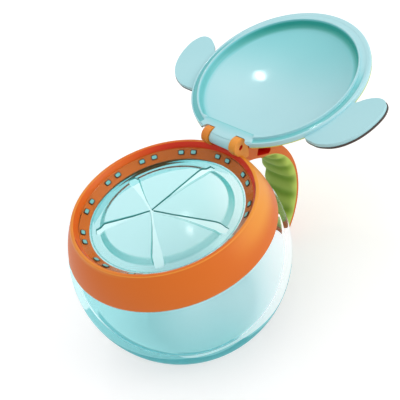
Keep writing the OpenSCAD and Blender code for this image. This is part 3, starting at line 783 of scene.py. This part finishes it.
def flap(i):
    """The flap between slit i and the next, out to the line between their ends."""
    nu, nv = 60, 64
    a, b = ENDS[i], ENDS[(i + 1) % FLAPS]
    along = (b - a) / np.linalg.norm(b - a)
    inward = np.array([-along[1], along[0]])
    start = a + inward * 0.02

    def past(t, k, side):
        """How far a point on a slit's side lies inside the fold line."""
        return float((slit_side(k, side, t) - start) @ inward)

    def crossing(k, side):
        """The share of a slit's length at which its side meets the fold line."""
        lo, hi = 0.6, 1.2
        for _ in range(40):
            mid = (lo + hi) / 2
            lo, hi = (mid, hi) if past(mid, k, side) > 0 else (lo, mid)
        return lo

    tl, tr = crossing(i, 1), crossing(i + 1, -1)
    da, db = ENDS[i] - MEET, ENDS[(i + 1) % FLAPS] - MEET
    half = 0.5 * math.acos(float(da @ db) / (np.linalg.norm(da) * np.linalg.norm(db)))
    run = 0.46 / math.tan(half)  # leaves the tip a little blunt
    el, er = run / np.linalg.norm(da), run / np.linalg.norm(db)
    verts = []
    for u in np.linspace(0, 1, nu):
        w = u ** 0.9
        L, R = slit_side(i, 1, tl + (el - tl) * w), slit_side(i + 1, -1, tr + (er - tr) * w)
        for v in np.linspace(0, 1, nv):
            verts.append(L + (R - L) * v)
    xy = np.array(verts)
    z = skin(xy[:, 0], xy[:, 1])
    top = np.column_stack([xy, z])
    low = np.column_stack([xy, skin_low(xy[:, 0], xy[:, 1])])
    verts = np.concatenate([top, low])
    n_top, faces, fmat = len(top), [], []
    for j in range(nu - 1):
        for k in range(nv - 1):
            q = j * nv + k
            faces.append([q, q + 1, q + nv + 1, q + nv])
            faces.append([q + n_top, q + nv + n_top, q + nv + 1 + n_top, q + 1 + n_top])
            fmat += [0, 0]
        for q, r in ((j * nv, (j + 1) * nv), ((j + 1) * nv + nv - 1, j * nv + nv - 1)):
            faces.append([q, r, r + n_top, q + n_top])
            fmat.append(2)
    for k in range(nv - 1):
        faces.append([k + 1, k, k + n_top, k + 1 + n_top])
        fmat.append(1)
        q = (nu - 1) * nv + k
        faces.append([q, q + 1, q + 1 + n_top, q + n_top])
        fmat.append(2)
    o = piece("flap_skin_%d" % (i + 1), verts, faces, [skin_m, seam_m, edge_m], fmat, sharp=50)
    # The last two rows of points beside one slit are deeper, as its cut line.
    cut_line = 0.9 * (np.arange(len(verts)) % nv >= nv - 2)
    paint(o, lambda x, y, z: np.maximum(membrane_shade_bands(x, y), cut_line))
    mid, z = (a + b) / 2, FOLD_Z
    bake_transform(o)
    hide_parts("flap_%d" % (i + 1))


rim = membrane_ring()
paint(rim, membrane_shade_bands)
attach(rim, "collar")
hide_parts("membrane_ring")
for i in range(FLAPS):
    flap(i)


# ------------------------------------------------- rivets, by Geometry Nodes

def rivets():
    """Small rounded heads in pairs, all round on the ledge under the film, each on a larger dark plate of
    painted shade.
    """
    mid = LEDGE_IN + 0.62 * (LEDGE_OUT - LEDGE_IN) + LEDGE_DOWN * 0.42
    tilt = math.atan2(LEDGE_DIR[1], LEDGE_DIR[0])
    o = placed("rivet_heads", bpy.data.meshes.new("rivet_heads"))
    g = bpy.data.node_groups.new("rivets_on_ledge", "GeometryNodeTree")
    sockets(g, "OUTPUT", [("Geometry", "Geometry", None)])
    names = sockets(g, "INPUT", (
        ("Pairs", "Int", 12), ("Radius", "Float", mid[0] * MM), ("Height", "Float", mid[1] * MM),
        ("Spread", "Float", math.radians(4.8)), ("Turn", "Float", math.radians(0.2)), ("Tilt", "Float", tilt),
        ("Width", "Float", 2.15 * MM), ("Length", "Float", 1.5 * MM), ("Thickness", "Float", 0.56 * MM),
        ("ShadeMargin", "Float", 0.7 * MM)))
    given, result = node(g, "NodeGroupInput").outputs, node(g, "NodeGroupOutput")

    line = node(g, "GeometryNodeMeshLine", {"Count": calc(g, "MULTIPLY", given["Pairs"], 2)})
    index = node(g, "GeometryNodeInputIndex").outputs[0]
    pair = calc(g, "FLOOR", calc(g, "DIVIDE", index, 2))
    side = calc(g, "SUBTRACT", calc(g, "MULTIPLY", calc(g, "MODULO", index, 2), 2), 1)
    turn = calc(g, "ADD", calc(g, "DIVIDE", calc(g, "MULTIPLY", pair, TAU), given["Pairs"]), given["Turn"])
    angle = calc(g, "ADD", turn, calc(g, "MULTIPLY", side, given["Spread"]))
    place = node(g, "ShaderNodeCombineXYZ", {0: calc(g, "MULTIPLY", given["Radius"], calc(g, "COSINE", angle)),
                                             1: calc(g, "MULTIPLY", given["Radius"], calc(g, "SINE", angle)),
                                             2: given["Height"]})
    move = node(g, "GeometryNodeSetPosition", {"Geometry": line.outputs[0], "Position": place.outputs[0]})

    def together(*parts):
        join = node(g, "GeometryNodeJoinGeometry")
        for part in parts:
            link(g, part, join.inputs[0])
        return join.outputs[0]

    def block(length, width, corner, thick, mat):
        """A flat block with rounded corners."""
        quad = node(g, "GeometryNodeCurvePrimitiveQuadrilateral", {"Width": length, "Height": width})
        soft = node(g, "GeometryNodeFilletCurve", {"Count": 4, "Radius": corner, "Curve": quad.outputs[0]},
                    mode="POLY")
        fill = node(g, "GeometryNodeFillCurve", {"Curve": soft.outputs[0]}, mode="NGONS")
        ext = node(g, "GeometryNodeExtrudeMesh", {"Mesh": fill.outputs[0], "Offset Scale": thick})
        flip = node(g, "GeometryNodeFlipFaces", {0: fill.outputs[0]})
        whole = together(ext.outputs["Mesh"], flip.outputs[0])
        weld = node(g, "GeometryNodeMergeByDistance", {"Distance": 1e-6, "Geometry": whole})
        return node(g, "GeometryNodeSetMaterial", {"Material": mat, "Geometry": weld.outputs[0]}).outputs[0]

    head = block(given["Length"], given["Width"], 0.42 * MM, given["Thickness"], rivet_m)
    # A larger dark plate under each head: painted shade round it.
    shade_plate = block(calc(g, "ADD", given["Length"], given["ShadeMargin"]), calc(g, "ADD", given["Width"], given["ShadeMargin"]),
                 0.6 * MM, calc(g, "MULTIPLY", given["Thickness"], 0.8), rivet_shade_m)
    lean = node(g, "ShaderNodeCombineXYZ", {1: calc(g, "MULTIPLY", given["Tilt"], -1)}).outputs[0]
    spin = node(g, "ShaderNodeCombineXYZ", {2: angle}).outputs[0]
    rot = node(g, "FunctionNodeRotateEuler", {"Rotation": lean, "Rotate By": spin}).outputs[0]
    inst = node(g, "GeometryNodeInstanceOnPoints", {"Points": move.outputs[0], "Instance": together(head, shade_plate),
                                                    "Rotation": rot})
    real = node(g, "GeometryNodeRealizeInstances", {0: inst.outputs[0]})
    link(g, real.outputs[0], result.inputs[0])
    mod = o.modifiers.new("rivets", "NODES")
    mod.node_group = g
    mod[names["Pairs"]] = 12
    return baked(o)


heads = rivets()
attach(heads, "collar")

# ---------------------------------------------------------------------- lid

# The lid is built shut, then swung open about the hinge.
RIM_R, RIM_SHIFT, RIM_Z, RIM_TOP, FLAT_R = 39.9, 1.0, 70.5, 73.1, 37.0
PLUG_IN, PLUG_OUT, PLUG_Z = 35.4, 36.2, 69.8
ROOF_R, ROOF_SIDE, ROOF_RISE, LID_T, COVER_T = 34.4, 73.3, 4.4, 1.5, 0.9
GROOVE_OUT, GROOVE_TOP, HOLLOW_BACK = 38.5, 71.15, 31.4
DOME_R, DOME_Z, DOME_TOP = 36.3, 72.7, ROOF_SIDE + ROOF_RISE + LID_T
OPEN = math.radians(-169)


def swing(o):
    """Turns a piece of the shut lid to where it stands open."""
    there = Matrix.Translation((0, HINGE[0] * MM, HINGE[1] * MM))
    back = Matrix.Translation((0, -HINGE[0] * MM, -HINGE[1] * MM))
    o.data.transform(there @ Matrix.Rotation(OPEN, 4, "X") @ back)


def rim_out(th):
    """The rim's outer radius at the given angles: a circle that lies a little to the front."""
    return -RIM_SHIFT * np.sin(th) + np.sqrt(RIM_R ** 2 - (RIM_SHIFT * np.cos(th)) ** 2)


def lid_angles():
    """Angles all round, closer together at both ends of the hinge plate."""
    base = np.arange(0, 360, 1.25)
    extra = [c + d for c in (66.7, 113.3) for d in (-0.9, -0.55, -0.2, 0.15, 0.5)]
    return np.radians(np.sort(np.concatenate([base, extra])))


def dome(r, foot, top):
    """The height of the lid's round back at radius r, from its foot's radius up to its top."""
    return DOME_Z + (top - DOME_Z) * (1 - (r / foot) ** 2.6)


def bay(r, n):
    """A (y, z) outline that clears the hinge line by r and is drawn out to the back."""
    y, z = HINGE
    return arc((y, z), r, 90, 270, n) + [(y + 8, z - r), (y + 8, z + r)]


def notch(side, mat):
    """Clears the rim beside a lug, tapering away from it."""
    layers = [[(side * x, a, b) for a, b in bay(r, 24)] for x, r in ((10.0, 4.1), (11.0, 4.0), (13.9, 1.9))]
    return stacked("notch", layers, [mat])


def lid_shell():
    """The lid's body, from the middle of its hollow out over the plug and the rim, and back over the dome."""
    th = lid_angles()
    s = np.sin(th)
    wall = np.where(s > 0, np.minimum(PLUG_IN, HOLLOW_BACK / np.maximum(s, 1e-6)), PLUG_IN)
    k = wall / PLUG_IN
    x_at = np.abs(FLAT_R * np.cos(th))
    plate = smooth(14.75, 14.25, x_at) * (s > 0)
    flat = RIM_Z + 0.1
    rows = [(0, ROOF_SIDE + ROOF_RISE)]
    for t in np.linspace(0, 1, 25)[1:]:
        r = t * (ROOF_R - 0.6) * k
        rows.append((r, ROOF_SIDE + ROOF_RISE * (1 - (r / ROOF_R) ** 2)))
    side = ROOF_SIDE + ROOF_RISE * (1 - (ROOF_R * k / ROOF_R) ** 2)
    for dr, dz in ((-0.15, -0.1), (0.25, -0.35), (0.5, -0.75), (0.62, -1.25)):
        rows.append(((ROOF_R + dr) * k, side + dz))

    def both(r, z):
        """Keeps a ring inside the rim, and makes it flat across the hinge plate."""
        return (np.minimum(r, rim_out(th) - 0.55), z + (flat - z) * plate)

    rows.append(((ROOF_R + 0.85) * k, 71.2))
    rows += [both(PLUG_IN * k + dr, z) for dr, z in ((0, 70.15), (0.07, 69.92), (0.25, PLUG_Z))]
    shallow = 0.8 * smooth(0.0, -0.6, s)
    for r, z in ((36.0, PLUG_Z), (36.15, 69.9), (PLUG_OUT, 70.1), (PLUG_OUT, 71.0), (36.35, GROOVE_TOP),
                 (38.3, GROOVE_TOP), (38.47, 71.0), (GROOVE_OUT, 70.72), (38.62, 70.56)):
        z = z - np.maximum(z - RIM_Z, 0) * shallow
        rows.append(both(np.maximum(r, PLUG_IN * k + 0.3), z))
    ro = rim_out(th)
    c = np.minimum(0.9, (ro - GROOVE_OUT) * 0.62)
    c = c + (0.8 - c) * plate
    for a in (-90, -70, -50, -30, -12, 0):
        u, v = ray(a)
        rows.append((ro - c + c * u, RIM_Z + c + c * v + 0.1 * plate))
    rows += [(ro, RIM_TOP - 0.3), (ro - 0.1, RIM_TOP - 0.02), (FLAT_R, RIM_TOP - 0.02)]
    rows += [(DOME_R * t, dome(DOME_R * t, DOME_R, DOME_TOP)) for t in np.linspace(1, 0, 16)[:-1]]
    rows.append((0, DOME_TOP))
    shell = turned("shell", rows, th, [lid_m])
    room = bay(4.1, 30)
    tools = [prism("slot", room, sx * 8.05 - 2.05, sx * 8.05 + 2.05, [lid_m]) for sx in (-1, 1)]
    cut(shell, *tools, *(notch(sx, lid_m) for sx in (-1, 1)))
    y, z = HINGE
    web = [(33.6, 74.0)] + arc((y, z), 3.0, 172.3, -90, 30) + [(y - 2.5, RIM_Z + 0.25), (33.6, RIM_Z + 0.6)]
    nose = rounded(prism("nose", web, -6.1, 6.1, [lid_m]), 0.4)
    pins = [prism("pin", arc((y, z), 1.0, 0, 345, 23), *sorted((sx * 5.0, sx * 7.2)), [lid_m]) for sx in (-1, 1)]
    return shell, nose, pins


# An ear's outline, out from the rim and along it, and how the ear hangs.
EAR_ROOT, EAR_DROOP, EAR_TURN = RIM_R - 1.9, math.radians(8), math.radians(3)
EAR = [(-6, 0.5), (-1, -0.3), (3.5, -1.8), (6.3, -4.5), (10.1, -6.4), (13.6, -6.3), (16, -4.2), (17.4, 0.4),
       (17, 6.7), (15.3, 12.4), (12.4, 17), (8.6, 20.3), (3.8, 22.1), (0, 22.2), (-4.5, 21.3), (-8, 18),
       (-9, 10)]


def through(pts, n):
    """A smooth closed curve through a few points, n steps from each to the next."""
    p, out = [np.array(q, float) for q in pts], []
    m = len(p)
    for i in range(m):
        a, b, c, d = p[i - 1], p[i], p[(i + 1) % m], p[(i + 2) % m]
        for t in (j / n for j in range(n)):
            bends = (2 * a - 5 * b + 4 * c - d) * t * t + (3 * b - a - 3 * c + d) * t ** 3
            out.append(0.5 * (2 * b + (c - a) * t + bends))
    return out


def ear(side, low, high, mats, name, edge, keep_r=38.9, grow=0.0):
    """An ear between two heights over the rim. It keeps out of keep_r, and its outer part may grow a little."""
    def place(lx, ly, lz):
        out = grow * float(smooth(4, 12, lx))
        lx, ly = lx + out * (lx - 6) / 11, ly + out * (ly - 8) / 14
        x = EAR_ROOT + lx * math.cos(EAR_DROOP) + lz * math.sin(EAR_DROOP)
        z = RIM_Z + 1.2 - lx * math.sin(EAR_DROOP) + lz * math.cos(EAR_DROOP)
        r = math.hypot(x, ly)
        y = ly
        if r < keep_r:
            z -= x * (keep_r / r - 1) * math.tan(EAR_DROOP)
            x, y = x * keep_r / r, y * keep_r / r
        c, s = math.cos(EAR_TURN), math.sin(EAR_TURN)
        return (side * x * c - y * s, side * x * s + y * c, z)

    layers = [[place(p[0], p[1], h) for p in through(EAR, 5)] for h in (low, high)]
    return rounded(stacked(name, layers, mats), edge, angle=50)


shell, nose, pins = lid_shell()
ears = [ear(sx, 0, 1.7, [ear_m], "ear", 0.5) for sx in (-1, 1)]
lid = joined("lid_inside", shell, nose, *pins, *ears)


def lid_painted_shade(x, y, z):
    """Painted shade: deepest on the wall round the dish, less in the groove, and a slow darkening towards the
    dish's far side.
    """
    r = np.hypot(x, y)
    th = np.arctan2(y, x)
    k = np.where(y > 0, np.minimum(1, HOLLOW_BACK / np.maximum(np.sin(th), 1e-6) / PLUG_IN), 1.0)
    q = r / k
    far = smooth(-0.1, 0.9, -y / np.maximum(r, 1e-6))
    wall = smooth(33.3 - 2.8 * far, 34.6, q) * smooth(69.95, 70.5, z) * smooth(75.2, 73.6, z) * (r < 36.0)
    wall = wall * smooth(35.9, 35.45, q)
    groove = 0.55 * (1 - far) * smooth(36.15, 36.4, r) * smooth(38.6, 38.3, r)
    groove = groove * smooth(70.6, 71.0, z) * (z < 71.5)
    # Painted shade: the dish darkens slowly towards its far side.
    drift = 0.34 * smooth(-0.35, 0.9, (-0.1 * x - y) / 34) * (r < 35) * (z > 72.5) * (z < 78)
    return np.maximum(np.maximum(wall * (0.55 + 0.45 * far), groove), drift)


paint(lid, lid_painted_shade)
swing(lid)
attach(lid, "lid")
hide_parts("lid_shell")


def lid_cover():
    """The skin over the lid's back, turned in over the rim and open behind the hinge plate."""
    th = lid_angles()
    ro = rim_out(th)
    top, foot = DOME_TOP + COVER_T, DOME_R + COVER_T * 0.75
    rows = [(0, top)]
    for t in np.linspace(0, 1, 22)[1:]:
        r = foot * (1 - (1 - t) ** 1.6)
        rows.append((r, max(dome(r, foot, top), 73.5)))
    rows.append((37.35, 73.42))
    edge = ((-0.5, 73.42), (-0.12, 73.34), (0.04, 73.15), (0.05, 72.78), (-0.1, 72.72), (-0.35, 72.9),
            (-0.4, 73.12))
    rows += [(ro + dr, z) for dr, z in edge]
    rows.append((FLAT_R, 73.12))
    top, foot = top - COVER_T + 0.04, 36.35
    rows += [(foot * t, dome(foot * t, foot, top) + (0.42 if t == 1 else 0)) for t in np.linspace(1, 0, 16)[:-1]]
    rows.append((0, top))
    o = turned("lid_skin", rows, th, [lime_m])
    return cut(o, prism("room", [(33.0, 60), (60, 60), (60, 90), (33.0, 90)], -14.5, 14.5, [lime_m]))


cover = lid_cover()
swing(cover)
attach(cover, "lid")
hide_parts("lid_cover")
for sx, label in ((1, "right"), (-1, "left")):
    e = ear(sx, 1.6, 2.45, [brown_m], "ear_skin_" + label, 0.22, keep_r=40.05, grow=0.35)
    swing(e)
    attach(e, "lid")
    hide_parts("ear_cover_" + label)

# ------------------------------------------------------------ floor, lights

WHITE = (1, 1, 1, 1)


def looked_at(nt):
    """Two values: 1 for rays that show a thing to the camera, and 1 for those that come through a clear wall."""
    rays = node(nt, "ShaderNodeLightPath").outputs
    direct = calc(nt, "MAXIMUM", rays["Is Camera Ray"], rays["Is Transmission Ray"])
    return calc(nt, "MAXIMUM", direct, rays["Is Glossy Ray"]), rays["Is Transmission Ray"]


floor_m, nt, p, out = material("floor_pale")
feed(nt, p, {"Base Color": (0.86, 0.86, 0.865, 1), "Roughness": 1.0, "Specular IOR Level": 0.0})
seen, through_clear = looked_at(nt)
lift = calc(nt, "MULTIPLY_ADD", through_clear, 0.19, calc(nt, "MULTIPLY", seen, 0.335))
glow = node(nt, "ShaderNodeEmission", {"Color": WHITE, "Strength": lift})
feed(nt, out, {"Surface": node(nt, "ShaderNodeAddShader", {0: p.outputs[0], 1: glow.outputs[0]}).outputs[0]})
FLOOR, FLOOR_Z = 8, -0.0002  # half its width and its height, in metres
mesh = bpy.data.meshes.new("floor")
mesh.from_pydata([(x * FLOOR, y * FLOOR, FLOOR_Z) for x, y in ((-1, -1), (1, -1), (1, 1), (-1, 1))], [],
                 [(0, 1, 2, 3)])
mesh.materials.append(floor_m)
floor = placed("floor", mesh)

world = bpy.data.worlds.new("studio")
SCENE.world = world
world.use_nodes = True
nt = world.node_tree
soft = nt.nodes["Background"]
feed(nt, soft, {"Color": WHITE, "Strength": 0.62})
white = node(nt, "ShaderNodeBackground", {"Color": WHITE, "Strength": 1.0})
sky = node(nt, "ShaderNodeMixShader", {0: looked_at(nt)[0], 1: soft.outputs[0], 2: white.outputs[0]})
feed(nt, nt.nodes["World Output"], {"Surface": sky.outputs[0]})


MIDDLE = Vector((0, 0.03, 0.06))


def lamp(name, direction, distance, size, power, tall=1.0):
    """An oval lamp that shines at the middle of the object from a direction. Sizes are in metres."""
    light = bpy.data.lights.new(name, "AREA")
    light.shape = "ELLIPSE"
    light.size = size
    light.size_y = size * tall
    light.energy = power
    o = placed(name, light)
    d = Vector(direction).normalized()
    o.location = MIDDLE + d * distance
    o.rotation_mode = "QUATERNION"
    o.rotation_quaternion = d.to_track_quat("Z", "Y")


lamp("key", (-0.48, 0.325, 0.815), 1.2, 0.028, 0.55, tall=2.8)
lamp("top_soft", (-0.1, -0.2, 0.95), 1.6, 2.4, 6.5)
lamp("side_soft", (0.75, 0.45, 0.45), 1.2, 0.7, 4.6)

# ------------------------------------------------------------------- camera

# How the camera is turned, and its place across, up and back from the origin, along its own axes.
AZ, EL, ROLL = math.radians(56.65), math.radians(41.45), math.radians(-17.51)
ACROSS, UP, BACK = -0.73, 50.11, 301.71
back = Vector((math.sin(AZ) * math.cos(EL), -math.cos(AZ) * math.cos(EL), math.sin(EL)))
level = Vector((math.cos(AZ), math.sin(AZ), 0))
rise = back.cross(level)
cam_x = level * math.cos(ROLL) + rise * math.sin(ROLL)
cam_y = rise * math.cos(ROLL) - level * math.sin(ROLL)
place = (cam_x * ACROSS + cam_y * UP + back * BACK) * MM
cam = bpy.data.cameras.new("camera")
cam.sensor_width = 36
cam.lens = 57.6
cam.clip_start, cam.clip_end = 0.01, 20
eye = placed("camera", cam)
eye.matrix_world = Matrix(((cam_x.x, cam_y.x, back.x, place.x), (cam_x.y, cam_y.y, back.y, place.y),
                           (cam_x.z, cam_y.z, back.z, place.z), (0, 0, 0, 1)))
SCENE.camera = eye
SCENE.view_settings.view_transform = "Standard"
